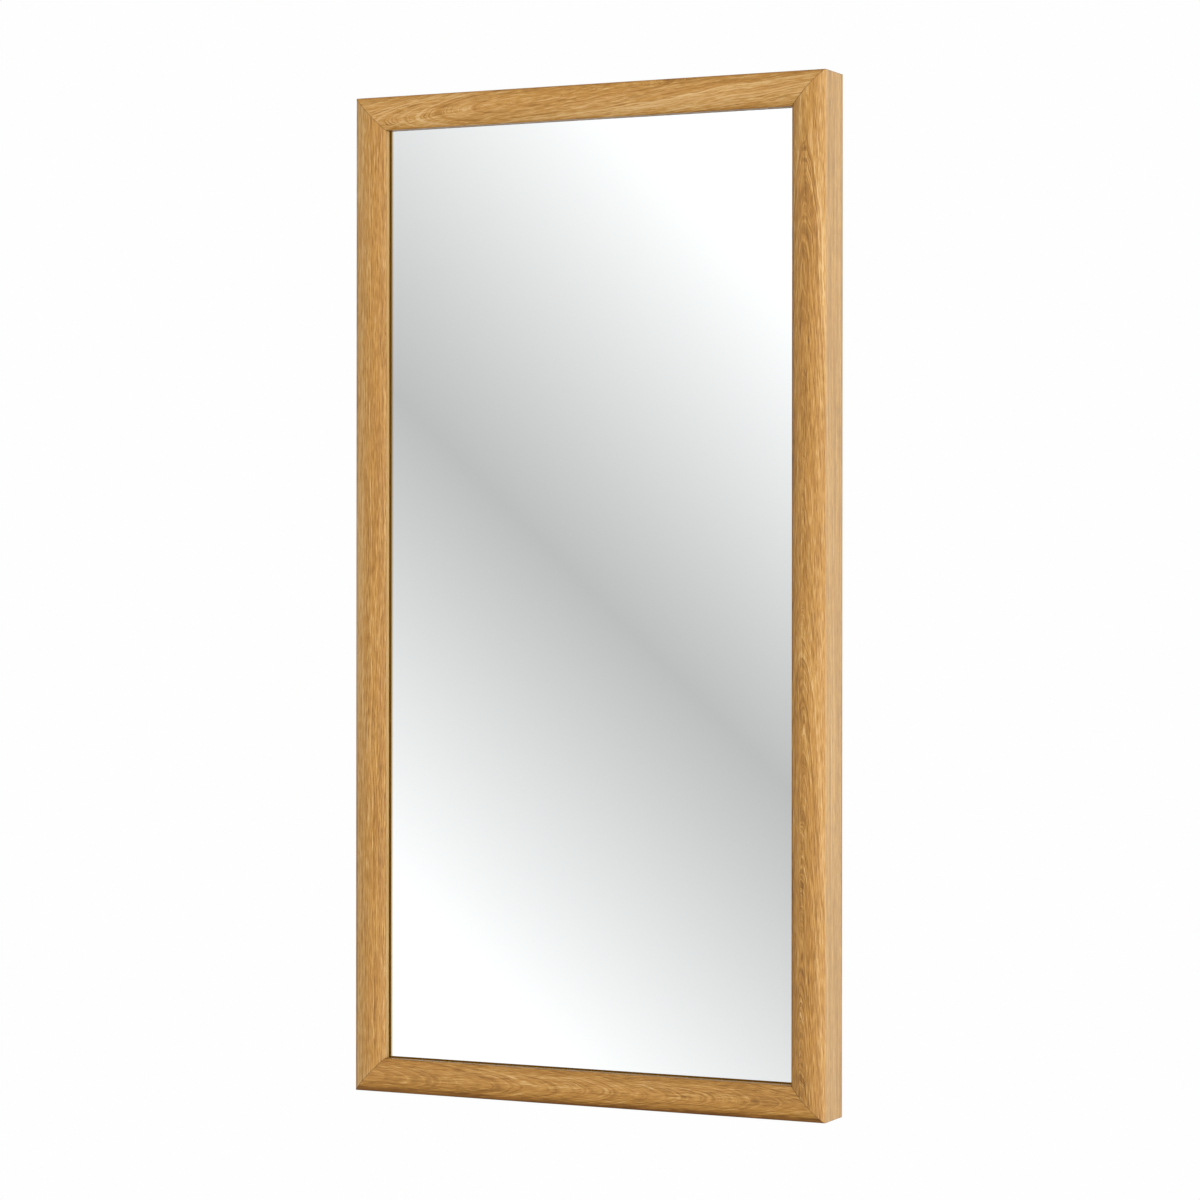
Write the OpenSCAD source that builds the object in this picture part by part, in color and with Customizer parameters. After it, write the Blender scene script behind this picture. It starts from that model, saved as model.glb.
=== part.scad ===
// Hall mirror: a tall wall mirror in a deep, mitred solid oak frame with a softly crowned face.
// The front faces -Y, +X is to the viewer's right and +Z is up.
// The origin is on the frame's back face, midway between the entry holes of the two keyhole hangers.
// All sizes are in millimetres.

/* [Frame] */
// Overall width of the frame
frame_w = 600; // [360:10:1000]
// Overall height of the frame
frame_h = 1180; // [600:10:1800]
// Depth of the frame, from its back face to the top of the crown
frame_d = 62; // [58:1:80]
// Width of the frame's face, from the outer side to the inner edge
face_w = 40; // [38:1:56]
// Rise of the crown above the face's two edges
crown_rise = 7; // [2:0.5:8]
// Radius of the round between the face and the outer side
outer_round = 4; // [2:0.5:8]
// Radius of the round between the face and the inner edge
inner_round = 2; // [0.5:0.5:3]
// Radius of the eased edges along the frame's back face
back_ease = 1.5; // [0.5:0.5:2.5]
// Width of the lip that covers the edge of the glass
lip_w = 10; // [7:0.5:13]
// Thickness of the lip at its inner edge, measured without the round
lip_t = 9; // [6:0.5:12]

/* [Mirror glass] */
// Thickness of the glass
glass_t = 4; // [3:0.5:6]
// Thickness of the silvering with its protective paint
silver_t = 0.2; // [0.1:0.1:0.5]
// Gap between the edge of the glass and the wall of the rebate
glass_gap = 1.5; // [1:0.5:3]
// Length of each rubber block beside the edge of the glass
block_l = 30; // [15:5:60]
// Distance of each block's middle from the corner of the glass
block_inset = 90; // [50:5:130]

/* [Backboard] */
// Thickness of the backboard
board_t = 6; // [4:0.5:9]
// Gap between the edge of the backboard and the wall of the rebate
board_gap = 1; // [0.5:0.5:2]
// Thickness of the foam tape between the mirror and the backboard
tape_t = 1; // [0.5:0.5:2]
// Width of each strip of tape
tape_w = 25; // [12:1:30]
// Number of strips of tape
tape_n = 4; // [2:1:5]
// Distance from each end of the tape to the edge of the glass
tape_end = 30; // [15:5:60]

/* [Beads] */
// Width of the beads that hold the backboard, away from the frame's wall
bead_w = 12; // [10:1:16]
// Height of the beads, away from the backboard
bead_d = 14; // [11:1:16]
// Chamfer on the bead's free corner
bead_chamfer = 3; // [1:0.5:4]
// Number of screws in each side bead
side_screw_n = 4; // [2:1:6]
// Number of screws in the top bead and in the bottom bead
end_screw_n = 2; // [2:1:3]
// Distance from the ends of a bead to its first screw
bead_screw_end = 60; // [40:5:90]
// Length of a bead screw
bead_screw_l = 25; // [20:1:28]

/* [Screws] */
// Diameter of the screws' shanks
screw_d = 3.5; // [3:0.5:4]
// Diameter of the screws' countersunk heads
screw_head_d = 7; // [6:0.5:8]
// Length of a hanger screw
hanger_screw_l = 20; // [16:1:20]

/* [Mitre dowels] */
// Diameter of the dowels
dowel_d = 8; // [6:1:10]
// Length of the dowels
dowel_l = 30; // [20:1:32]
// Wood left between the end of a dowel hole and the frame's outer side
dowel_cover = 4; // [3:0.5:6]
// Distance from the frame's back face to the first dowel of a corner
dowel_back = 14; // [9:1:16]
// Distance between the two dowels of a corner
dowel_pitch = 22; // [14:1:24]

/* [Hangers] */
// Distance from the frame's top edge down to the entry holes
hanger_drop = 90; // [75:5:200]
// Width of a hanger plate
plate_w = 20; // [18:1:22]
// Length of a hanger plate
plate_l = 52; // [48:1:60]
// Thickness of a hanger plate
plate_t = 2; // [1.5:0.5:3]
// Diameter of the entry hole for the head of the wall screw
entry_d = 10; // [9:0.5:11]
// Width of the slot that takes the shank of the wall screw
slot_w = 5; // [4:0.5:5.5]
// Height of the slot's end above the entry hole's centre
slot_rise = 10; // [9:0.5:12]
// Depth of the pocket behind the plate
pocket_d = 10; // [6:1:14]
// Distance between the two screws of a hanger
hanger_screw_pitch = 38; // [36:1:40]

/* [Wall pads] */
// Diameter of the felt pads
pad_d = 18; // [10:1:20]
// Thickness of the felt pads
pad_t = 2; // [1:0.5:4]
// Distance from a pad's centre to the end of the stile
pad_inset = 30; // [24:1:40]

/* [Hidden] */

// Extra length that lets a cutting solid pass the face it cuts
over = 1;
// Facets of the large crown circle and of small round parts
crown_fn = 360;
small_fn = 48;

// Colours
oak = [0.78, 0.58, 0.33];
pine = [0.88, 0.74, 0.52];
beech = [0.85, 0.68, 0.48];
board_brown = [0.52, 0.38, 0.26];
zinc = [0.72, 0.73, 0.74];

// The frame's corners: half its width, and its upper and lower edge
half_w = frame_w / 2;
top_z = hanger_drop;
bottom_z = top_z - frame_h;
mid_z = (top_z + bottom_z) / 2;

// Behind the lip each member is a plain bar of this width
body_w = face_w - lip_w;

// Half width and half height of the space between the members, behind the lip
cavity_x = half_w - body_w;
cavity_z = frame_h / 2 - body_w;

// Distances from the frame's back face to the layers inside, from the front to the back
lip_back = frame_d - crown_rise - lip_t;
glass_back = lip_back - glass_t;
silver_back = glass_back - silver_t;
tape_back = silver_back - tape_t;
board_back = tape_back - board_t;
bead_back = board_back - bead_d;

// The crown is an arc over the full width of the face
crown_r = (pow(face_w / 2, 2) + pow(crown_rise, 2)) / (2 * crown_rise);
crown_c = [face_w / 2, crown_r - frame_d];

// Centre of a round that touches the crown's arc from inside, at x from the outer side
function round_c(x, r) = [x, crown_c[1] - sqrt(pow(crown_r - r, 2) - pow(x - crown_c[0], 2))];
// Point where that round meets the arc
function meet(c) = crown_c + (c - crown_c) * crown_r / norm(c - crown_c);
outer_c = round_c(outer_round, outer_round);
inner_c = round_c(face_w - inner_round, inner_round);
outer_meet = meet(outer_c);
inner_meet = meet(inner_c);

// Screws, with the gap between a shank and its hole
screw_gap = 0.1;
screw_head_t = 0.5;
screw_cone = (screw_head_d - screw_d) / 2;
screw_point = screw_d * 1.6;
recess_w = 0.9;
recess_l = screw_head_d * 0.55;
recess_t = 1.4;

// Dowels, with the glue gap round them and the gap past each end
dowel_gap = 0.1;
dowel_end_gap = 0.5;
dowel_chamfer = 1;
dowel_inset = dowel_cover + (dowel_l / 2 + dowel_end_gap + dowel_d / 2) / sqrt(2);

// Hangers: centre line on the middle of each stile's back face, with the play of plate and screw head
hanger_x = half_w - body_w / 2;
plate_gap = 0.3;
head_play = 1.5;
pocket_r = entry_d / 2 + head_play;
plate_mid = slot_rise / 2;

// Half width and half height of the glass and of the backboard
glass_x = cavity_x - glass_gap;
glass_z = cavity_z - glass_gap;
board_x = cavity_x - board_gap;
board_z = cavity_z - board_gap;

// Evenly spaced places from -reach to reach
function spread(n, reach) = [for (i = [0 : n - 1]) -reach + 2 * reach * i / (n - 1)];

// Moves children from the lower left outer corner, where x and z point inwards, to a named corner
module at_corner(right, top) {
    translate([right ? half_w : -half_w, 0, top ? top_z : bottom_z])
        mirror([right ? 1 : 0, 0, 0])
            mirror([0, 0, top ? 1 : 0])
                children();
}

// A sheet parallel to the mirror: half sizes, and its distances from the back face
module sheet(x, z, back, front) {
    translate([-x, -front, mid_z - z])
        cube([2 * x, front - back, 2 * z]);
}

// The half of a round that lies in front of its centre
module front_half(c, r) {
    translate(c)
        intersection() {
            circle(r, $fn = small_fn);
            translate([-r, -r]) square([2 * r, r]);
        }
}

// Section of a frame member: x runs inwards from the outer side, y runs back to the wall at 0
module member_section() {
    polygon([
        [back_ease, 0], [back_ease, -back_ease], [0, -back_ease], [0, outer_c[1]], outer_c, outer_meet,
        inner_meet, inner_c, [face_w, inner_c[1]], [face_w, -lip_back], [body_w, -lip_back],
        [body_w, -back_ease], [body_w - back_ease, -back_ease], [body_w - back_ease, 0]
    ]);
    for (x = [back_ease, body_w - back_ease])
        translate([x, -back_ease]) circle(back_ease, $fn = small_fn);
    front_half(outer_c, outer_round);
    front_half(inner_c, inner_round);
    intersection() {
        translate(crown_c) circle(crown_r, $fn = crown_fn);
        polygon([
            outer_meet, [outer_meet[0], -frame_d - over],
            [inner_meet[0], -frame_d - over], inner_meet
        ]);
    }
}

// One member of the given length along z, with both ends cut at 45 degrees
module member(len) {
    intersection() {
        linear_extrude(len) member_section();
        translate([0, over, 0])
            rotate([90, 0, 0])
                linear_extrude(frame_d + 2 * over)
                    polygon([
                        [-over, -over], [face_w + over, face_w + over],
                        [face_w + over, len - face_w - over], [-over, len + over]
                    ]);
    }
}

// Two rods of one corner, square to the mitre, seen from the lower left corner
module corner_rods(r, len) {
    for (d = [dowel_back, dowel_back + dowel_pitch])
        translate([dowel_inset, -d, dowel_inset])
            rotate([0, 135, 0])
                cylinder(len, r, r, center = true, $fn = small_fn);
}

// A dowel with chamfered ends, centred on the origin
module dowel() {
    r = dowel_d / 2 - dowel_gap;
    h = dowel_l / 2;
    rotate_extrude($fn = small_fn)
        polygon([
            [0, -h], [r - dowel_chamfer, -h], [r, -h + dowel_chamfer],
            [r, h - dowel_chamfer], [r - dowel_chamfer, h], [0, h]
        ]);
}

// The two dowels of one corner
module corner_dowels(right, top) {
    color(beech)
        at_corner(right, top)
            for (d = [dowel_back, dowel_back + dowel_pitch])
                translate([dowel_inset, -d, dowel_inset])
                    rotate([0, 135, 0])
                        dowel();
}

// Dowel holes of one corner
module dowel_holes(right, top) {
    at_corner(right, top)
        corner_rods(dowel_d / 2, dowel_l + 2 * dowel_end_gap);
}

// A countersunk wood screw: its head's top is at the origin and its point is below
module wood_screw(len) {
    difference() {
        rotate_extrude($fn = small_fn)
            polygon([
                [0, 0], [screw_head_d / 2, 0], [screw_head_d / 2, -screw_head_t],
                [screw_d / 2, -screw_head_t - screw_cone], [screw_d / 2, screw_point - len], [0, -len]
            ]);
        for (a = [0, 90])
            rotate([0, 0, a])
                translate([-recess_l / 2, -recess_w / 2, -recess_t])
                    cube([recess_l, recess_w, recess_t + over]);
    }
}

// The hole for that screw, down to its point, with a countersink for its head
module screw_hole(len) {
    r = screw_d / 2 + screw_gap;
    head_r = screw_head_d / 2 + screw_gap;
    translate([0, 0, -len - screw_gap])
        cylinder(len + screw_gap, r, r, $fn = small_fn);
    translate([0, 0, -screw_head_t - head_r + r])
        cylinder(head_r - r, r, head_r, $fn = small_fn);
    translate([0, 0, -screw_head_t])
        cylinder(screw_head_t + over, head_r, head_r, $fn = small_fn);
}

// Places children on the screws of one side bead, driven square into the frame's wall
module at_side_bead_screws(right) {
    for (z = spread(side_screw_n, cavity_z - bead_screw_end))
        translate([right ? cavity_x - bead_w : bead_w - cavity_x, bead_d / 2 - board_back, mid_z + z])
            rotate([0, right ? -90 : 90, 0])
                children();
}

// The same for the screws of the top bead or the bottom bead
module at_end_bead_screws(top) {
    for (x = spread(end_screw_n, cavity_x - bead_w - bead_screw_end))
        translate([x, bead_d / 2 - board_back, mid_z + (top ? cavity_z - bead_w : bead_w - cavity_z)])
            rotate([top ? 180 : 0, 0, 0])
                children();
}

// Places children on the screws of one hanger, with the heads at the plate's outer face
module at_hanger_screws(right) {
    for (side = [-1, 1])
        translate([right ? hanger_x : -hanger_x, 0, plate_mid + side * hanger_screw_pitch / 2])
            rotate([-90, 0, 0])
                children();
}

// A slot with round ends, from z = low to z = high, cut back from y = 0
module round_slot(r, low, high, depth) {
    rotate([90, 0, 0])
        linear_extrude(depth) {
            translate([0, low]) circle(r, $fn = small_fn);
            translate([0, high]) circle(r, $fn = small_fn);
            translate([-r, low]) square([2 * r, high - low]);
        }
}

// Recess for a hanger plate and the pocket behind it, with the hanger's centre line at x = 0
module hanger_recess() {
    reach = (plate_l - plate_w) / 2;
    translate([0, over, 0])
        round_slot(plate_w / 2 + plate_gap, plate_mid - reach, plate_mid + reach, plate_t + over);
    round_slot(pocket_r, 0, slot_rise, plate_t + pocket_d);
}

// An upright member with its dowel holes, hanger recess and screw holes
module stile(right) {
    color(oak)
        difference() {
            mirror([right ? 1 : 0, 0, 0])
                translate([-half_w, 0, bottom_z])
                    member(frame_h);
            dowel_holes(right, true);
            dowel_holes(right, false);
            translate([right ? hanger_x : -hanger_x, 0, 0])
                hanger_recess();
            at_hanger_screws(right)
                screw_hole(hanger_screw_l);
            at_side_bead_screws(right)
                screw_hole(bead_screw_l);
        }
}

// A level member with its dowel holes and screw holes
module rail(top) {
    color(oak)
        difference() {
            translate([0, 0, mid_z])
                mirror([0, 0, top ? 0 : 1])
                    translate([-half_w, 0, frame_h / 2])
                        rotate([0, 90, 0])
                            member(frame_w);
            dowel_holes(false, top);
            dowel_holes(true, top);
            at_end_bead_screws(top)
                screw_hole(bead_screw_l);
        }
}

module left_stile() {
    stile(false);
}

module right_stile() {
    stile(true);
}

module top_rail() {
    rail(true);
}

module bottom_rail() {
    rail(false);
}

// Float glass, clear of the frame's wall all round
module mirror_glass() {
    color([0.86, 0.92, 0.90, 0.5])
        sheet(glass_x, glass_z, glass_back, lip_back);
}

// The silvering covers the whole back of the glass
module silver_coating() {
    color([0.80, 0.82, 0.84])
        sheet(glass_x, glass_z, silver_back, glass_back);
}

// Two blocks carry the glass on the bottom rail
module setting_blocks() {
    color([0.16, 0.16, 0.17])
        for (side = [-1, 1])
            translate([side * (glass_x - block_inset) - block_l / 2, -lip_back, mid_z - cavity_z])
                cube([block_l, glass_t, glass_gap]);
}

// Two blocks on each side keep the glass from shifting
module side_blocks() {
    color([0.16, 0.16, 0.17])
        for (side = [-1, 1], level = [-1, 1])
            translate([
                side < 0 ? -cavity_x : glass_x, -lip_back,
                mid_z + level * (glass_z - block_inset) - block_l / 2
            ])
                cube([glass_gap, glass_t, block_l]);
}

// Upright strips of foam tape between the silvering and the backboard
module mounting_tapes() {
    color([0.93, 0.93, 0.90])
        for (x = spread(tape_n, glass_x - tape_end - tape_w / 2))
            translate([x, 0, 0])
                sheet(tape_w / 2, glass_z - tape_end, tape_back, silver_back);
}

// Flat board behind the mirror
module backboard() {
    color(board_brown)
        sheet(board_x, board_z, board_back, tape_back);
}

// Section of a bead: x runs away from the frame's wall, y runs back from the backboard at 0
module bead_section() {
    polygon([
        [0, 0], [bead_w, 0], [bead_w, bead_d - bead_chamfer], [bead_w - bead_chamfer, bead_d], [0, bead_d]
    ]);
}

// Side beads run the full height of the cavity
module side_bead(right) {
    color(pine)
        difference() {
            mirror([right ? 1 : 0, 0, 0])
                translate([-cavity_x, -board_back, mid_z - cavity_z])
                    linear_extrude(2 * cavity_z)
                        bead_section();
            at_side_bead_screws(right)
                screw_hole(bead_screw_l);
        }
}

// The top and bottom beads fit between the side beads
module end_bead(top) {
    reach = cavity_x - bead_w;
    color(pine)
        difference() {
            translate([0, 0, mid_z])
                mirror([0, 0, top ? 0 : 1])
                    translate([-reach, -board_back, cavity_z])
                        rotate([0, 90, 0])
                            linear_extrude(2 * reach)
                                bead_section();
            at_end_bead_screws(top)
                screw_hole(bead_screw_l);
        }
}

module left_bead() {
    side_bead(false);
}

module right_bead() {
    side_bead(true);
}

module top_bead() {
    end_bead(true);
}

module bottom_bead() {
    end_bead(false);
}

// The screws that hold the beads, with their cross recesses turned by 45 degrees
module bead_screws() {
    color(zinc) {
        for (right = [false, true])
            at_side_bead_screws(right)
                rotate([0, 0, 45])
                    wood_screw(bead_screw_l);
        for (top = [false, true])
            at_end_bead_screws(top)
                rotate([0, 0, 45])
                    wood_screw(bead_screw_l);
    }
}

// Flat steel plate with a keyhole: entry hole below, slot above, two countersunk screw holes
module hanger(right) {
    reach = (plate_l - plate_w) / 2;
    color(zinc)
        difference() {
            translate([right ? hanger_x : -hanger_x, 0, 0])
                difference() {
                    round_slot(plate_w / 2, plate_mid - reach, plate_mid + reach, plate_t);
                    translate([0, over, 0])
                        rotate([90, 0, 0])
                            cylinder(plate_t + 2 * over, entry_d / 2, entry_d / 2, $fn = small_fn);
                    translate([0, over, 0])
                        round_slot(slot_w / 2, 0, slot_rise, plate_t + 2 * over);
                }
            at_hanger_screws(right)
                screw_hole(hanger_screw_l);
        }
}

module left_hanger() {
    hanger(false);
}

module right_hanger() {
    hanger(true);
}

// Two screws hold each hanger plate
module hanger_screws() {
    color(zinc)
        for (right = [false, true])
            at_hanger_screws(right)
                wood_screw(hanger_screw_l);
}

// Felt pads on the back of the stiles keep the frame off the wall
module wall_pads() {
    color([0.30, 0.27, 0.24])
        for (right = [false, true], top = [false, true])
            at_corner(right, top)
                translate([body_w / 2, pad_t, pad_inset])
                    rotate([90, 0, 0])
                        cylinder(pad_t, pad_d / 2, pad_d / 2, $fn = small_fn);
}

left_stile();
right_stile();
top_rail();
bottom_rail();
corner_dowels(false, true);  // top_left_dowels
corner_dowels(true, true);  // top_right_dowels
corner_dowels(false, false);  // bottom_left_dowels
corner_dowels(true, false);  // bottom_right_dowels
mirror_glass();
silver_coating();
setting_blocks();
side_blocks();
mounting_tapes();
backboard();
left_bead();
right_bead();
top_bead();
bottom_bead();
bead_screws();
left_hanger();
right_hanger();
hanger_screws();
wall_pads();
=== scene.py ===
import math

import bpy
from mathutils import Matrix, Vector


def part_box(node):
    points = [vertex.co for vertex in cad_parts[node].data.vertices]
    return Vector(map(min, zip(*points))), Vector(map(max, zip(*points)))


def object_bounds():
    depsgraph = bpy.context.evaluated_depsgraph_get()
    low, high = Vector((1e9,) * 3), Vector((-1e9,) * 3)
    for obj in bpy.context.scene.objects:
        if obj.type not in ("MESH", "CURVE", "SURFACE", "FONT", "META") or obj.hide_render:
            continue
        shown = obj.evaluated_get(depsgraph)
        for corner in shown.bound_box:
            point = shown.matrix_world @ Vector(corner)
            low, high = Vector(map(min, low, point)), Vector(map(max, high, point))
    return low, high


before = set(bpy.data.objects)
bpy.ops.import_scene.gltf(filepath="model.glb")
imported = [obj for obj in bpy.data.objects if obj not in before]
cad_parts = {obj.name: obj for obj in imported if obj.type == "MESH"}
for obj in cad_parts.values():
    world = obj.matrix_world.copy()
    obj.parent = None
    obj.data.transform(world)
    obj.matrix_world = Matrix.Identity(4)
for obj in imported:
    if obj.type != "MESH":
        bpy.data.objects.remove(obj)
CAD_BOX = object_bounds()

# The photo's camera, in metres and degrees. It looks level and to the left of the mirror's depth axis.
PHOTO_PX = 1200
CAMERA_AT = (1.7977, -3.7861, -0.4743)
CAMERA_TURN = 25.455
CAMERA_ROLL = 0.047
FOCAL_PX = 3587.9
OPTICAL_AXIS_Y_PX = 572.9
SENSOR = 36.0

# Soft light from around: azimuth from the front towards +X, elevation, tightness and brightness
LAMPS = (
    (60, 0, 4, 3.55),
    (150, 0, 4, 1.50),
    (330, 0, 4, 1.00),
    (330, 45, 4, 0.25),
    (270, 0, 4, 0.45),
    (210, 0, 4, 0.35),
    (0, 90, 4, 0.35),
)
AMBIENT = 0.08
BACKDROP = 0.991
# The most that a rough gloss takes from the lamps, and the most that the mirror shows of them
GLOSS_MOST = 1.9
MIRRORED_MOST = 0.88
# How bright the mirror shows the floor, and how far a direction falls, over a length of 1, to find it so
MIRRORED_FLOOR = 0.60
MIRRORED_FLOOR_FALL = 0.6

# The grey bands that the mirror reflects, which run at 45 degrees across the photo's mirror: a point on
# the main band's middle, its half width as the sine of an angle, the screen values of dark and light,
# how far apart the bands lie, and how much brighter the light is than the screen values
BAND_AXIS_PX = (604.0, 568.9)
BAND_HALF_WIDTH = 0.0966
BAND_DARK = 0.716
BAND_LIGHT = 0.975
BAND_PERIOD = 0.304
BAND_GAIN = 1.155

# The flat reflector that the photo's mirror faces: the angles from its middle at which it ends and is full
PANEL_EDGE = (30.0, 16.0)

# The floor, in metres: a disc far enough below the mirror to stay out of the photo's view. Its mesh has
# rings and spokes, and it fades out between two shares of its radius.
FLOOR_DROP = 0.80
FLOOR_RADIUS = 3.0
FLOOR_RINGS = 24
FLOOR_SPOKES = 96
FLOOR_FADE = (0.45, 0.98)

# How each member was sawn, in millimetres in the frame's own axes, with painted highlight and shade at its
# edges. oak_member says what each word means.
OAK = {
    "left_stile": dict(
        level=False, seed=310.0, pith=(-330, -20), drift=0.0, slope=0.004, ring=3.2, lean=0.004, wave=0.25,
        bands=0.22, flecks=0.05, pale=-0.04, arris=(0.32, 34.0), rim=(-0.24, 5.5), lip=(0.20, 2.2, 0.55)),
    "right_stile": dict(
        level=False, seed=1470.0, pith=(276, -108), drift=0.01, slope=-0.02, ring=2.5, lean=0.06, wave=0.26,
        bands=0.20, flecks=0.08, pale=0.0, arris=(0.22, 10.0), rim=(-0.12, 3.0), lip=(-0.36, 4.0, 0.0)),
    # The top rail's pale is partly its own lighter tone and partly painted light from above
    "top_rail": dict(
        level=True, seed=2650.0, pith=(96, -88), drift=0.20, slope=0.10, ring=2.8, lean=-0.09, wave=0.50,
        bands=0.36, flecks=0.08, pale=0.21, arris=(-0.08, 36.0), rim=(-0.20, 3.5), lip=(-0.22, 3.5, 0.0)),
    "bottom_rail": dict(
        level=True, seed=3890.0, pith=(-1072, -116), drift=0.0, slope=0.0, ring=3.0, lean=0.10, wave=0.28,
        bands=0.26, flecks=0.06, pale=-0.02, arris=(-0.62, 9.5), rim=(-0.30, 3.0), lip=(0.0, 3.0, 0.55)),
}

# The rings' run-out is whole down to this far behind the crown's top, and only a share of it is left
# from this depth on, in millimetres
RUN_OUT_WHOLE = 15.0
RUN_OUT_FALLEN = -5.0
RUN_OUT_BEHIND = 0.15

# Oak from its darkest to its lightest, the reddish and the yellowish shade over it, and the mitre line
OAK_TONES = (
    (0.0, (0.160, 0.063, 0.013, 1.0)),
    (0.25, (0.290, 0.131, 0.025, 1.0)),
    (0.50, (0.420, 0.203, 0.042, 1.0)),
    (0.75, (0.550, 0.294, 0.073, 1.0)),
    (1.0, (0.680, 0.445, 0.195, 1.0)),
)
OAK_RED = (0.480, 0.218, 0.046, 1.0)
OAK_YELLOW = (0.40, 0.297, 0.10, 1.0)
MITRE_LINE = (0.085, 0.035, 0.010, 1.0)

# Millimetres behind the crown's top, between which the painted highlight and shade of the front fade out, the
# tones of the sides and the back come in, and the painted light on the lip's inner side comes in
FRONT_EDGE_LIGHT_END = (10.0, 15.0)
SIDE_TONES_START = (9.0, 14.0)
LIP_SIDE_LIGHT_START = (8.0, 12.0)
# Depths in millimetres between which the painted shade of the back edge comes in, and how dark it is
BACK_EDGE = (-7.0, -1.0)
BACK_EDGE_SHADE = -0.25

# The beads behind the backboard: name, whether level, and seed of the grain
BEADS = (
    ("left_bead", False, 40.0),
    ("right_bead", False, 950.0),
    ("top_bead", True, 1830.0),
    ("bottom_bead", True, 2710.0),
)

MM = 1000.0
# Depth in which a face of the glass counts as its front or its back, in millimetres
SKIN = 0.05
# How far the silver's faces are drawn in, in millimetres
CLEARANCE = 0.05
# Width of the line inside the frame's lip that the silver leaves bare, at the sides and at the ends,
# how far the silver sits above the opening's middle, and how wide the painted warm reflection at its edge is
# at the sides
BARE_MARGIN = (1.8, 0.90)
SILVER_RISE = 0.90
WARM_REFLECTION_WIDTH = 3.2
# How far under the lip at the ends the glass still looks clear, so that its dark line stays thin
CLEAR_UNDER_LIP = 0.6
# Colours of the silver, its painted warm reflection of the lip, the bare line painted with the lip's
# reflection and shade, and the lip's wood where it covers the front face
SILVER = (0.955, 0.962, 0.968, 1.0)
SILVER_PAINTED_WARM_REFLECTION = (0.52, 0.34, 0.12, 1.0)
PAINTED_LIP_REFLECTION = (0.355, 0.152, 0.012, 1.0)
LIP_COVER = (0.40, 0.16, 0.012, 1.0)


class Tree:
    """Adds nodes to one node tree and links them as they are made."""

    def __init__(self, tree):
        self.tree = tree
        tree.nodes.clear()

    def add(self, kind, settings=None, **inputs):
        node = self.tree.nodes.new(kind)
        for name, value in (settings or {}).items():
            setattr(node, name, value)
        for name, value in inputs.items():
            self.put(node.inputs[name.replace("_", " ")], value)
        return node

    def put(self, socket, value):
        if isinstance(value, bpy.types.NodeSocket):
            self.tree.links.new(value, socket)
        else:
            socket.default_value = value

    def math(self, operation, *values):
        node = self.tree.nodes.new("ShaderNodeMath")
        node.operation = operation
        for socket, value in zip(node.inputs, values):
            self.put(socket, value)
        return node.outputs[0]

    def vector(self, operation, *values):
        node = self.tree.nodes.new("ShaderNodeVectorMath")
        node.operation = operation
        for socket, value in zip(node.inputs, values):
            self.put(socket, value)
        return node.outputs["Value" if operation == "DOT_PRODUCT" else "Vector"]

    def total(self, *values):
        result = values[0]
        for value in values[1:]:
            result = self.math("ADD", result, value)
        return result

    def split(self, vector):
        return self.add("ShaderNodeSeparateXYZ", Vector=vector).outputs

    def join(self, x, y, z):
        return self.add("ShaderNodeCombineXYZ", X=x, Y=y, Z=z).outputs[0]

    def blend(self, share, a, b):
        """Colour a, with b over it by share."""
        node = self.tree.nodes.new("ShaderNodeMix")
        node.data_type = "RGBA"
        self.put(node.inputs[0], share)
        self.put(node.inputs[6], a)
        self.put(node.inputs[7], b)
        return node.outputs[2]

    def span(self, value, low, high, to_low=0.0, to_high=1.0, smooth=False):
        """value from low to high, mapped to a new range and held at its ends."""
        node = self.tree.nodes.new("ShaderNodeMapRange")
        node.interpolation_type = "SMOOTHSTEP" if smooth else "LINEAR"
        self.put(node.inputs["Value"], value)
        self.put(node.inputs["From Min"], low)
        self.put(node.inputs["From Max"], high)
        self.put(node.inputs["To Min"], to_low)
        self.put(node.inputs["To Max"], to_high)
        return node.outputs[0]

    def ramp(self, value, stops, ease="EASE"):
        node = self.tree.nodes.new("ShaderNodeValToRGB")
        node.color_ramp.interpolation = ease
        self.put(node.inputs[0], value)
        elements = node.color_ramp.elements
        while len(elements) < len(stops):
            elements.new(0.5)
        for element, (place, colour) in zip(elements, stops):
            element.position = place
            element.color = colour if hasattr(colour, "__len__") else (colour, colour, colour, 1.0)
        return node.outputs[0]

    def noise(self, vector, scale, detail, roughness=0.5, distortion=0.0):
        node = self.add("ShaderNodeTexNoise", Vector=vector, Scale=scale, Detail=detail)
        node.inputs["Roughness"].default_value = roughness
        node.inputs["Distortion"].default_value = distortion
        return node.outputs["Fac"]

    def place_mm(self, seed=0.0):
        """The point on the object in millimetres, in the frame's own axes, moved by a seed."""
        point = self.add("ShaderNodeTexCoord").outputs["Object"]
        scaled = self.vector("MULTIPLY", point, (MM, MM, MM))
        return self.vector("ADD", scaled, (seed, seed * 0.37, seed * 0.61)) if seed else scaled


def new_material(name):
    material = bpy.data.materials.new(name)
    material.use_nodes = True
    return material, Tree(material.node_tree)


def surface(tree, **inputs):
    """A Principled shader on the material's output. Numbers go straight onto its own sockets."""
    shader = tree.add("ShaderNodeBsdfPrincipled")
    for name, value in inputs.items():
        tree.put(shader.inputs[name.replace("_", " ")], value)
    output = tree.add("ShaderNodeOutputMaterial")
    tree.put(output.inputs["Surface"], shader.outputs[0])


def rgb(red, green, blue):
    return (red, green, blue, 1.0)


def bump(tree, height, distance_mm, strength):
    node = tree.add("ShaderNodeBump", Height=height, Strength=strength)
    node.inputs["Distance"].default_value = distance_mm / MM
    return node.outputs[0]


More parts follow.
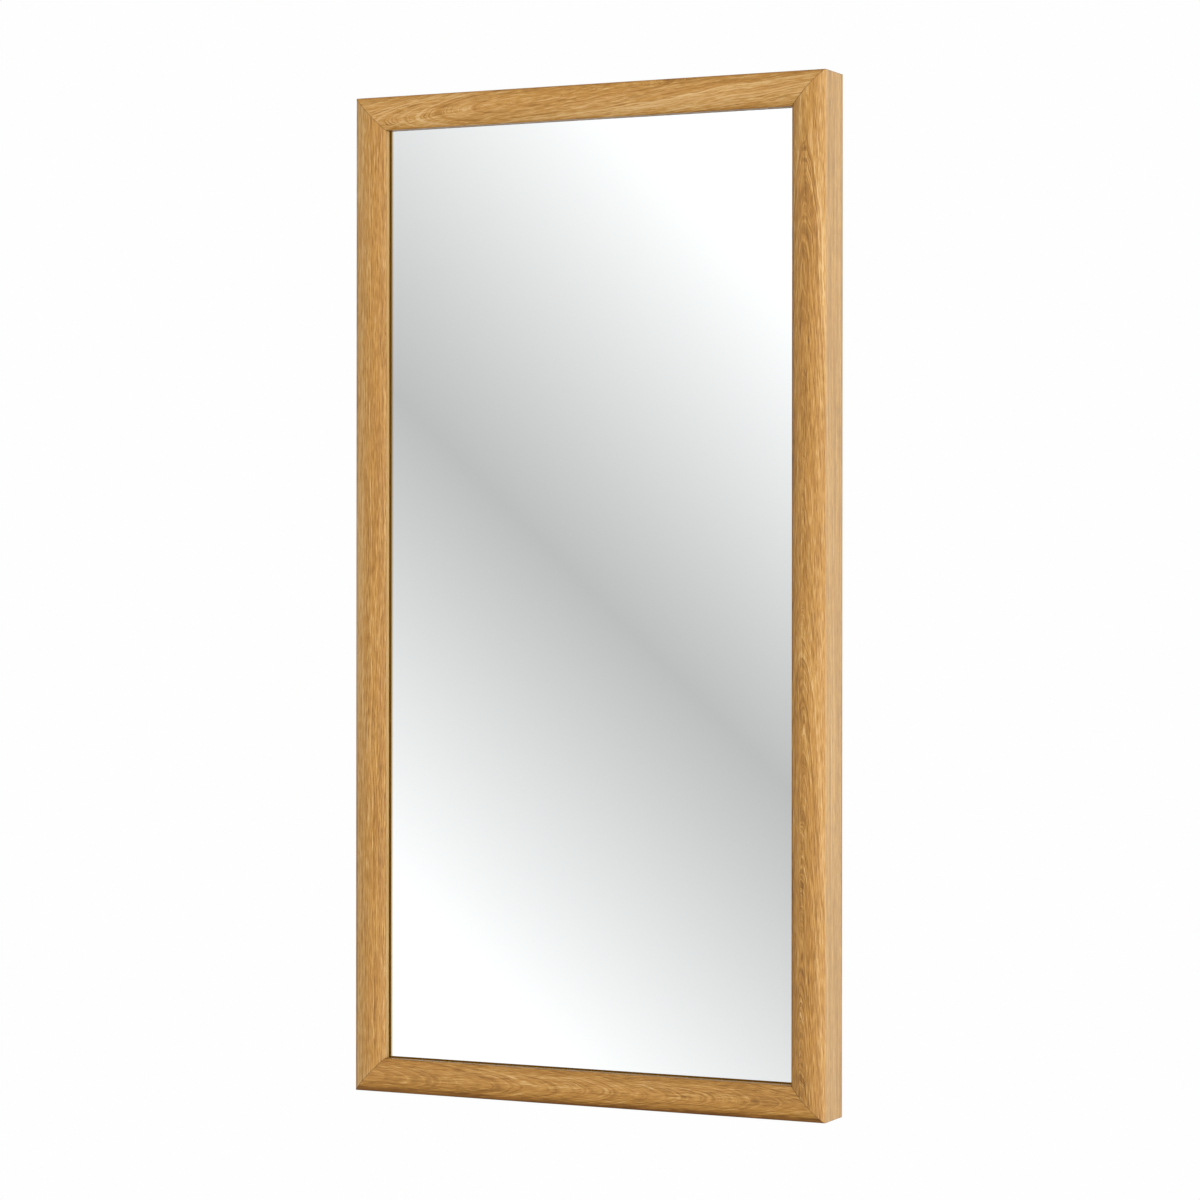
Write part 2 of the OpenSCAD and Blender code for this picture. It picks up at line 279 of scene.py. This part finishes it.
# Frame sizes in millimetres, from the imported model
FRAME_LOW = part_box("left_stile")[0] * MM
FRAME_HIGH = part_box("right_stile")[1] * MM
HALF_W = FRAME_HIGH.x
HALF_H = (FRAME_HIGH.z - FRAME_LOW.z) / 2
MID_Z = (FRAME_HIGH.z + FRAME_LOW.z) / 2
FACE_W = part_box("left_stile")[1].x * MM + HALF_W
FRONT_Y = FRAME_LOW.y


def edge_distances(tree, point):
    """Distances in millimetres from the frame's nearest outer side, and from the nearest mitre plane."""
    x, _, z = tree.split(point)
    from_side = tree.math("SUBTRACT", HALF_W, tree.math("ABSOLUTE", x))
    from_end = tree.math("SUBTRACT", HALF_H, tree.math("ABSOLUTE", tree.math("SUBTRACT", z, MID_Z)))
    gap = tree.math("ABSOLUTE", tree.math("SUBTRACT", from_side, from_end))
    return tree.math("MINIMUM", from_side, from_end), tree.math("MULTIPLY", gap, math.sqrt(0.5))


def member_axes(tree, level):
    """Across the face, depth and along the grain, in millimetres, for a stile or a level rail."""
    point = tree.place_mm()
    x, y, z = tree.split(point)
    across, along = (z, x) if level else (x, z)
    return point, across, y, along


def oak_member(
        name, level, seed, pith, drift, slope, ring, lean, wave, bands, flecks, pale, arris, rim, lip):
    """Solid oak sawn from a log.

    pith is the log's centre seen along the member, across and in depth, and drift how fast it wanders
    across along the length. slope is how fast the fibres climb across. ring is the width of a year's
    growth, lean how fast the rings run out along the length, and wave how much they sway.
    bands and flecks set how strongly the years and the short dark flecks show, and pale lightens all: the
    member's own tone, and on the top rail also painted light from above. arris, rim and lip are painted
    highlight and shade: how much lighter, or darker where negative, the front is towards its outer edge,
    at that edge and at its inner edge, and how far from the edge. lip ends with how much painted light
    its inner side gets."""
    material, tree = new_material(name)
    point, across, depth, along = member_axes(tree, level)
    along_seeded = tree.math("ADD", along, seed)
    fibre_across = tree.math("MULTIPLY_ADD", along, -slope, across)

    def grain(wide, long, detail=2.0, shift=0.0, deep=1.0):
        """Noise about zero, drawn out along the grain, with spots this wide and long in millimetres."""
        vector = tree.join(
            tree.math("MULTIPLY_ADD", fibre_across, 1 / wide, shift),
            tree.math("MULTIPLY_ADD", depth, 1 / (wide * deep), shift),
            tree.math("MULTIPLY", along_seeded, 1 / long),
        )
        return tree.math("SUBTRACT", tree.noise(vector, 1.0, detail), 0.5)

    def scaled(value, factor):
        return tree.math("MULTIPLY", value, factor)

    def layers(width, shift=0.0):
        """Noise about zero that changes only from one layer of growth to the next."""
        place = tree.math("MULTIPLY_ADD", radius, 1 / width, shift)
        noise = tree.add("ShaderNodeTexNoise", {"noise_dimensions": "1D"}, W=place, Detail=2.0)
        return tree.math("SUBTRACT", noise.outputs["Fac"], 0.5)

    # Growth rings round the pith, swaying slowly along the member and of uneven width
    off_across = tree.math("SUBTRACT", across, tree.math("MULTIPLY_ADD", along, drift, pith[0]))
    beside_pith = tree.math("ABSOLUTE", off_across)
    off_depth = tree.math("SUBTRACT", depth, pith[1])
    radius = tree.math("SQRT", tree.total(
        tree.math("MULTIPLY", off_across, off_across), tree.math("MULTIPLY", off_depth, off_depth)))
    run_out = tree.span(depth, FRONT_Y + RUN_OUT_WHOLE, RUN_OUT_FALLEN, lean, lean * RUN_OUT_BEHIND)
    radius = tree.total(
        radius, tree.math("MULTIPLY", along, run_out),
        scaled(grain(55, 130, 1.0), 30 * wave), scaled(grain(12, 34, 2.0, 7.0), 6 * wave))
    radius = tree.math("ADD", radius, scaled(layers(14.0), 10))
    years = scaled(radius, 1 / ring)
    season = tree.math("FRACT", years)
    this_year = tree.add(
        "ShaderNodeTexWhiteNoise", {"noise_dimensions": "1D"}, W=tree.math("FLOOR", years)).outputs["Value"]
    early = tree.ramp(season, [(0.0, 0.9), (0.12, 1.0), (0.50, 0.35), (0.80, 0.0), (1.0, 0.9)])
    early = tree.math("MULTIPLY", early, tree.span(this_year, 0.0, 1.0, 0.45, 1.0))
    early = tree.math("MULTIPLY", early, tree.span(beside_pith, 1.5, 8.0, 0.65, 1.0, smooth=True))

    # Streaks of several sizes, fine layers that fade over the pith, short flecks and pores
    broad = grain(9, 300, 2.0, 3.0, 2.0)
    streak = grain(2.0, 60, 2.0, 11.0, 2.0)
    fibre = grain(1.1, 14, 2.0, 23.0)
    lines = tree.math("MULTIPLY", layers(1.4, 40.0), tree.span(grain(5, 40, 1.0, 61.0), -0.2, 0.2, 0.4, 1.6))
    lines = tree.math("MULTIPLY", lines, tree.span(beside_pith, 1.5, 10.0, 0.25, 1.0, smooth=True))
    fleck = tree.span(grain(1.7, 11, 1.0, 43.0), 0.07, 0.24, smooth=True)
    pore = tree.span(grain(0.45, 7.5, 1.0, 31.0), 0.08, 0.20, smooth=True)
    pores = tree.math("MULTIPLY", pore, tree.math("MULTIPLY_ADD", early, 0.8, 0.2))

    light = tree.total(
        0.50 + pale + 0.35 * bands, scaled(broad, 0.42), scaled(streak, 0.60), scaled(fibre, 1.2),
        scaled(lines, 1.20), scaled(layers(8.0, 90.0), 0.50), scaled(this_year, 0.08), scaled(early, -bands),
        scaled(fleck, -flecks), scaled(pores, -0.22))

    # Painted highlight and painted shade towards the edges of the front and on the lip's inner side, grain
    # lines on the sides, and painted shade at the back edge
    from_side, from_mitre = edge_distances(tree, point)
    at_lip = tree.span(from_side, FACE_W - lip[1], FACE_W - 0.5, 0.0, 1.0, smooth=True)
    painted_edge_light = tree.total(
        scaled(tree.span(from_side, 1.5, arris[1], 1.0, 0.0, smooth=True), arris[0]),
        scaled(tree.span(from_side, 0.4 * rim[1], rim[1], 1.0, 0.0, smooth=True), rim[0]),
        scaled(at_lip, lip[0]))
    on_face = tree.span(
        depth, FRONT_Y + FRONT_EDGE_LIGHT_END[0], FRONT_Y + FRONT_EDGE_LIGHT_END[1], 1.0, 0.0, smooth=True)
    lip_side_painted_light = tree.span(
        depth, FRONT_Y + LIP_SIDE_LIGHT_START[0], FRONT_Y + LIP_SIDE_LIGHT_START[1], 0.0, lip[2], smooth=True)
    off_face = tree.span(depth, FRONT_Y + SIDE_TONES_START[0], FRONT_Y + SIDE_TONES_START[1])
    side_lines = tree.math("MULTIPLY", off_face, scaled(grain(5.0, 600, 3.0, 77.0), 0.9))
    back_edge_shade = tree.span(depth, BACK_EDGE[0], BACK_EDGE[1], 0.0, BACK_EDGE_SHADE)
    light = tree.total(
        light, tree.math("MULTIPLY", painted_edge_light, on_face), tree.math("MULTIPLY", at_lip, lip_side_painted_light),
        side_lines, back_edge_shade)
    tone = tree.ramp(light, OAK_TONES, "LINEAR")
    blush = tree.span(grain(6, 70, 2.0, 57.0), -0.12, 0.2, 0.0, 0.34)
    tone = tree.blend(blush, tone, OAK_RED)
    tone = tree.blend(scaled(off_face, 0.22), tone, OAK_YELLOW)
    joint = tree.span(from_mitre, 0.12, 0.5, 1.0, 0.0, smooth=True)
    tone = tree.blend(scaled(joint, 0.70), tone, MITRE_LINE)

    height = tree.total(
        scaled(pores, -1.0), scaled(fibre, 0.35), scaled(early, -0.2), scaled(joint, -1.2))
    gloss = tree.total(tree.span(fibre, -0.3, 0.3, 0.30, 0.40), scaled(pores, 0.25))
    surface(
        tree, Base_Color=tone, Roughness=gloss, Normal=bump(tree, height, 0.12, 0.6),
        IOR=1.5, Specular_IOR_Level=0.32)
    return material


def plain_wood(name, level, light, dark, ring, seed, roughness=0.6):
    """Straight-grained timber for the beads and the dowels, with its length level or upright."""
    material, tree = new_material(name)
    _, across, depth, along = member_axes(tree, level)
    along = tree.math("ADD", along, seed)

    def grain(wide, long, detail, shift):
        vector = tree.join(
            tree.math("MULTIPLY_ADD", across, 1 / wide, shift), tree.math("MULTIPLY", depth, 1 / wide),
            tree.math("MULTIPLY", along, 1 / long))
        return tree.noise(vector, 1.0, detail)

    sway = tree.math("MULTIPLY", grain(30, 160, 2.0, 3.0), 9.0)
    layer = tree.total(tree.math("MULTIPLY", across, 0.8), tree.math("MULTIPLY", depth, 0.6), sway)
    season = tree.math("FRACT", tree.math("DIVIDE", layer, ring))
    late = tree.ramp(season, [(0.0, 0.0), (0.55, 0.25), (0.88, 1.0), (1.0, 0.0)])
    streak = tree.span(grain(1.6, 45, 3.0, 11.0), 0.30, 0.70)
    fibre = grain(0.7, 9, 3.0, 23.0)
    tone = tree.blend(tree.math("MULTIPLY", late, 0.75), rgb(*light), rgb(*dark))
    tone = tree.blend(tree.math("MULTIPLY", streak, 0.35), tone, rgb(*[c * 0.72 for c in dark]))
    tone = tree.blend(tree.span(fibre, 0.35, 0.75, 0.0, 0.30), tone, rgb(*[c * 0.60 for c in dark]))
    surface(tree, Base_Color=tone, Roughness=roughness, Normal=bump(tree, fibre, 0.12, 0.5))
    return material


def clear_glass():
    """Float glass with the faint green of its body and a silvered back face.

    The silver ends just inside the frame's lip in a thin line painted with the lip's reflection and shade,
    and warms towards it at the sides as a painted reflection. Where the lip covers the front face, the wood
    that lies on it shows through."""
    material, tree = new_material("float_glass")
    point = tree.place_mm()
    x, y, z = tree.split(point)
    front, back = (corner.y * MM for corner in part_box("mirror_glass"))
    on_front = tree.math("LESS_THAN", y, front + SKIN)
    on_back = tree.math("GREATER_THAN", y, back - SKIN)
    past_side = tree.math("SUBTRACT", tree.math("ABSOLUTE", x), HALF_W - FACE_W)
    past_end = tree.math("SUBTRACT", tree.math("ABSOLUTE", tree.math("SUBTRACT", z, MID_Z)), HALF_H - FACE_W)
    past_edge = tree.math("MAXIMUM", past_side, tree.math("SUBTRACT", past_end, CLEAR_UNDER_LIP))
    covered = tree.math("MULTIPLY", on_front, tree.math("GREATER_THAN", past_edge, 0.0))
    bare_side = tree.math("GREATER_THAN", past_side, -BARE_MARGIN[0])
    off_middle = tree.math("ABSOLUTE", tree.math("SUBTRACT", z, MID_Z + SILVER_RISE))
    bare_end = tree.math("GREATER_THAN", off_middle, HALF_H - FACE_W - BARE_MARGIN[1])
    margin = tree.math("MULTIPLY", on_back, tree.math("MAXIMUM", bare_side, bare_end))
    silvered = tree.math("SUBTRACT", on_back, margin)
    opaque = tree.math("MAXIMUM", covered, margin)
    cloud = tree.noise(point, 0.01, 2.0)
    tint = tree.blend(cloud, rgb(0.985, 0.996, 0.990), rgb(0.975, 0.992, 0.984))
    # Painted reflection: the silver warms towards the bare line at the sides, and the bare line takes the
    # lip's reflected and shaded wood
    warm = tree.span(past_side, -BARE_MARGIN[0] - WARM_REFLECTION_WIDTH, -BARE_MARGIN[0], smooth=True)
    tint = tree.blend(silvered, tint, tree.blend(warm, SILVER, SILVER_PAINTED_WARM_REFLECTION))
    tint = tree.blend(covered, tint, LIP_COVER)
    tint = tree.blend(margin, tint, PAINTED_LIP_REFLECTION)
    surface(
        tree,
        Base_Color=tint,
        Metallic=silvered,
        Roughness=tree.math("MULTIPLY", opaque, 0.6),
        IOR=1.52,
        Specular_Tint=rgb(0.0, 0.0, 0.0),
        Transmission_Weight=tree.math("SUBTRACT", 1.0, opaque),
    )
    return material


def silvering():
    """Bright silver towards the glass, and grey paint on the back."""
    material, tree = new_material("silver_and_paint")
    _, y, _ = tree.split(tree.place_mm())
    front, back = (corner.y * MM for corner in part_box("silver_coating"))
    painted = tree.math("GREATER_THAN", y, (front + back) / 2)
    cloud = tree.noise(tree.place_mm(9.0), 0.02, 3.0)
    silver = tree.blend(cloud, SILVER, rgb(0.945, 0.955, 0.965))
    paint = tree.blend(cloud, rgb(0.13, 0.15, 0.16), rgb(0.17, 0.19, 0.20))
    surface(
        tree,
        Base_Color=tree.blend(painted, silver, paint),
        Metallic=tree.math("SUBTRACT", 1.0, painted),
        Roughness=tree.math("MULTIPLY", painted, 0.55),
    )
    return material


def fibreboard():
    """Pressed wood fibre: a mottled brown ground with lighter and darker fibres."""
    material, tree = new_material("pressed_fibre")
    point = tree.place_mm(3.0)
    cloud = tree.noise(point, 0.012, 4.0, 0.6)
    mottle = tree.noise(point, 0.09, 5.0, 0.7, 1.0)
    fibre = tree.noise(point, 0.45, 4.0, 0.7, 2.0)
    speck = tree.noise(point, 0.9, 2.0)
    tone = tree.blend(tree.span(cloud, 0.3, 0.7), rgb(0.285, 0.160, 0.077), rgb(0.325, 0.187, 0.092))
    tone = tree.blend(tree.span(mottle, 0.45, 0.75, 0.0, 0.55), tone, rgb(0.20, 0.105, 0.048))
    tone = tree.blend(tree.span(fibre, 0.48, 0.66, 0.0, 0.75), tone, rgb(0.50, 0.330, 0.190))
    tone = tree.blend(tree.span(speck, 0.60, 0.70, 0.0, 0.75), tone, rgb(0.10, 0.050, 0.022))
    surface(tree, Base_Color=tone, Roughness=0.78, Normal=bump(tree, fibre, 0.2, 0.5))
    return material


def zinc_steel(name, dark, light):
    """Zinc-plated steel with fine scratches."""
    material, tree = new_material(name)
    point = tree.place_mm(13.0)
    cloud = tree.noise(point, 0.35, 3.0, 0.6)
    scratch = tree.noise(tree.vector("MULTIPLY", point, (0.5, 6.0, 5.0)), 1.0, 3.0, 0.6)
    tone = tree.blend(cloud, rgb(*dark), rgb(*light))
    gloss = tree.total(tree.span(cloud, 0.2, 0.8, 0.22, 0.38), tree.span(scratch, 0.3, 0.8, 0.0, 0.14))
    surface(tree, Base_Color=tone, Metallic=1.0, Roughness=gloss, Normal=bump(tree, scratch, 0.02, 0.6))
    return material


def rubber():
    """Matt black rubber with a fine grit."""
    material, tree = new_material("black_rubber")
    grit = tree.noise(tree.place_mm(17.0), 2.5, 3.0)
    tone = tree.blend(grit, rgb(0.022, 0.022, 0.024), rgb(0.040, 0.040, 0.042))
    surface(tree, Base_Color=tone, Roughness=0.7, Normal=bump(tree, grit, 0.05, 0.5))
    return material


def foam_tape():
    """White foam with open cells on its face."""
    material, tree = new_material("white_foam")
    cell = tree.add("ShaderNodeTexVoronoi", Vector=tree.place_mm(19.0), Scale=2.2).outputs["Distance"]
    tone = tree.blend(tree.span(cell, 0.0, 0.6), rgb(0.70, 0.70, 0.67), rgb(0.84, 0.84, 0.81))
    surface(tree, Base_Color=tone, Roughness=0.85, Normal=bump(tree, cell, 0.15, 0.6))
    return material


def felt():
    """Pressed wool felt with a soft fibrous face."""
    material, tree = new_material("grey_felt")
    point = tree.place_mm(29.0)
    tangle = tree.noise(point, 1.3, 5.0, 0.7, 2.5)
    cloud = tree.noise(point, 0.2, 2.0)
    tone = tree.blend(tree.span(tangle, 0.3, 0.7), rgb(0.055, 0.050, 0.046), rgb(0.145, 0.135, 0.125))
    tone = tree.blend(tree.span(cloud, 0.3, 0.7, 0.0, 0.3), tone, rgb(0.10, 0.095, 0.09))
    surface(
        tree, Base_Color=tone, Roughness=0.95, Sheen_Weight=0.35, Sheen_Roughness=0.5,
        Normal=bump(tree, tangle, 0.35, 0.8),
    )
    return material


def dress(material, *nodes):
    """Puts a material on the named nodes and leaves their meshes alone."""
    for name in nodes:
        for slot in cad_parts[name].material_slots:
            slot.link = "OBJECT"
            slot.material = material


def stand_clear(name):
    """Draws a piece's faces in by a hair, so that none of them coincides with a neighbour's."""
    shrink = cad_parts[name].modifiers.new("clearance", "DISPLACE")
    shrink.mid_level = 0.0
    shrink.strength = -CLEARANCE / MM


def dress_all():
    """Gives every CAD node its material."""
    # The photo's mirror shows no image of the frame, so rays that have passed the glass don't meet it
    for name, settings in OAK.items():
        dress(oak_member("oak_" + name, **settings), name)
        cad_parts[name].visible_transmission = False
    dress(clear_glass(), "mirror_glass")
    dress(silvering(), "silver_coating")
    stand_clear("silver_coating")
    dress(rubber(), "setting_blocks", "side_blocks")
    dress(foam_tape(), "mounting_tapes")
    dress(fibreboard(), "backboard")
    for name, level, seed in BEADS:
        dress(plain_wood("pine_" + name, level, (0.72, 0.51, 0.27), (0.50, 0.28, 0.10), 3.1, seed), name)
    beech = plain_wood("turned_beech", True, (0.62, 0.42, 0.23), (0.54, 0.33, 0.17), 2.2, 70.0, 0.5)
    dress(beech, "top_left_dowels", "top_right_dowels", "bottom_left_dowels", "bottom_right_dowels")
    dress(zinc_steel("bright_zinc", (0.36, 0.37, 0.39), (0.50, 0.51, 0.52)), "left_hanger", "right_hanger")
    dress(zinc_steel("yellow_zinc", (0.34, 0.24, 0.10), (0.50, 0.38, 0.18)), "bead_screws", "hanger_screws")
    dress(felt(), "wall_pads")


def make_camera():
    """The photo's camera."""
    data = bpy.data.cameras.new("photo_camera")
    data.sensor_width = SENSOR
    data.lens = FOCAL_PX / PHOTO_PX * SENSOR
    data.shift_y = (OPTICAL_AXIS_Y_PX - PHOTO_PX / 2) / PHOTO_PX
    data.clip_end = 50.0
    camera = bpy.data.objects.new("photo_camera", data)
    turn = Matrix.Rotation(math.radians(CAMERA_TURN), 4, "Z")
    level = Matrix.Rotation(math.radians(90), 4, "X")
    roll = Matrix.Rotation(math.radians(CAMERA_ROLL), 4, "Z")
    camera.matrix_world = Matrix.Translation(CAMERA_AT) @ turn @ level @ roll
    bpy.context.scene.collection.objects.link(camera)
    bpy.context.scene.camera = camera


def direction(azimuth, elevation):
    """Unit vector towards an azimuth, from the front towards +X, and an elevation, both in degrees."""
    turn, rise = math.radians(azimuth), math.radians(elevation)
    return Vector((math.sin(turn) * math.cos(rise), -math.cos(turn) * math.cos(rise), math.sin(rise)))


def mirrored_axes():
    """Right, up and forward of the photo's view after a reflection in the mirror."""
    turn = math.radians(CAMERA_TURN)
    right = Vector((math.cos(turn), -math.sin(turn), 0.0))
    forward = Vector((-math.sin(turn), -math.cos(turn), 0.0))
    return right, Vector((0.0, 0.0, 1.0)), forward


def band_normal():
    """Normal of the plane through the middle of the main grey band."""
    right, up, forward = mirrored_axes()
    offset = (PHOTO_PX / 2 - BAND_AXIS_PX[0]) / FOCAL_PX
    fall = (PHOTO_PX / 2 - BAND_AXIS_PX[1]) / FOCAL_PX
    return -(right + up + forward * (offset + fall)).normalized()


def make_world():
    """Plain soft studio light, with the soft grey bands that show in the mirror."""
    world = bpy.data.worlds.new("studio")
    world.use_nodes = True
    bpy.context.scene.world = world
    tree = Tree(world.node_tree)
    way = tree.vector("NORMALIZE", tree.add("ShaderNodeTexCoord").outputs["Generated"])
    glow = AMBIENT
    for azimuth, elevation, tightness, brightness in LAMPS:
        facing = tree.math("MAXIMUM", tree.vector("DOT_PRODUCT", way, direction(azimuth, elevation)), 0.0)
        lobe = tree.math("POWER", facing, float(tightness))
        glow = tree.math("ADD", glow, tree.math("MULTIPLY", lobe, brightness))

    # The bands, set as screen values and turned into light
    across = tree.vector("DOT_PRODUCT", way, band_normal())
    fold = tree.math("PINGPONG", across, BAND_PERIOD / 2)
    code = tree.span(fold, 0.0, BAND_HALF_WIDTH, BAND_DARK, BAND_LIGHT)
    level = tree.math("POWER", tree.math("DIVIDE", tree.math("ADD", code, 0.055), 1.055), 2.4)
    band = tree.math("MULTIPLY", level, BAND_GAIN)
    towards = tree.vector("DOT_PRODUCT", way, mirrored_axes()[2])
    edge = [math.cos(math.radians(angle)) for angle in PANEL_EDGE]
    panel = tree.span(towards, edge[0], edge[1], smooth=True)

    # Rough gloss takes the lamps, and the mirror, which alone is perfectly sharp, shows less of them and
    # the floor. Both meet the panel and the bands. The camera itself sees the plain backdrop.
    path = tree.add("ShaderNodeLightPath")
    below = tree.span(tree.split(way)[2], 0.0, -MIRRORED_FLOOR_FALL, 0.0, MIRRORED_FLOOR, smooth=True)
    mirrored = tree.math("MAXIMUM", tree.math("MINIMUM", glow, MIRRORED_MOST), below)
    gloss = tree.math("MINIMUM", glow, GLOSS_MOST)
    around = tree.blend(path.outputs["Is Singular Ray"], gloss, mirrored)
    bright = tree.blend(panel, around, rgb(1, 1, 1))
    shine = tree.blend(path.outputs["Is Glossy Ray"], glow, tree.math("MULTIPLY", bright, band))
    seen = tree.blend(path.outputs["Is Camera Ray"], shine, rgb(BACKDROP, BACKDROP, BACKDROP))
    background = tree.add("ShaderNodeBackground", Color=seen, Strength=1.0)
    output = tree.add("ShaderNodeOutputWorld")
    tree.put(output.inputs["Surface"], background.outputs[0])


def mixed(tree, share, a, b):
    """Shader a, with b over it by share."""
    node = tree.add("ShaderNodeMixShader")
    for socket, value in zip(node.inputs, (share, a.outputs[0], b.outputs[0])):
        tree.put(socket, value)
    return node


def make_floor():
    """A plain pale floor that fades out to the backdrop at its rim and is clear from below."""
    z = CAD_BOX[0].z - FLOOR_DROP
    verts = [(0.0, 0.0, z)]
    for ring in range(1, FLOOR_RINGS + 1):
        for spoke in range(FLOOR_SPOKES):
            angle = math.tau * spoke / FLOOR_SPOKES
            reach = FLOOR_RADIUS * ring / FLOOR_RINGS
            verts.append((reach * math.cos(angle), reach * math.sin(angle), z))
    faces = [(0, 1 + s, 1 + (s + 1) % FLOOR_SPOKES) for s in range(FLOOR_SPOKES)]
    for ring in range(FLOOR_RINGS - 1):
        inner = 1 + ring * FLOOR_SPOKES
        outer = inner + FLOOR_SPOKES
        for s in range(FLOOR_SPOKES):
            t = (s + 1) % FLOOR_SPOKES
            faces.append((inner + s, outer + s, outer + t, inner + t))
    mesh = bpy.data.meshes.new("floor")
    mesh.from_pydata(verts, [], faces)
    floor = bpy.data.objects.new("floor", mesh)
    bpy.context.scene.collection.objects.link(floor)
    material, tree = new_material("pale_floor")
    point = tree.place_mm()
    x, y, _ = tree.split(point)
    reach = tree.math("SQRT", tree.total(tree.math("MULTIPLY", x, x), tree.math("MULTIPLY", y, y)))
    fade = tree.span(reach, FLOOR_RADIUS * MM * FLOOR_FADE[0], FLOOR_RADIUS * MM * FLOOR_FADE[1], smooth=True)
    cloud = tree.noise(point, 0.004, 3.0)
    tone = tree.blend(cloud, rgb(0.80, 0.80, 0.79), rgb(0.84, 0.84, 0.83))
    matt = tree.add("ShaderNodeBsdfPrincipled", Base_Color=tone, Roughness=0.8)
    glow = tree.add("ShaderNodeEmission", Color=rgb(BACKDROP, BACKDROP, BACKDROP), Strength=1.0)
    from_below = tree.add("ShaderNodeNewGeometry").outputs["Backfacing"]
    clear = tree.add("ShaderNodeBsdfTransparent")
    one_sided = mixed(tree, from_below, mixed(tree, fade, matt, glow), clear)
    output = tree.add("ShaderNodeOutputMaterial")
    tree.put(output.inputs["Surface"], one_sided.outputs[0])
    mesh.materials.append(material)

    # The floor is for the camera alone: it throws no light on the object, and no rim shows in the mirror
    floor.visible_diffuse = False
    floor.visible_glossy = False
    floor.visible_transmission = False


make_camera()
make_world()
make_floor()
dress_all()
bpy.context.scene.view_settings.view_transform = "Standard"
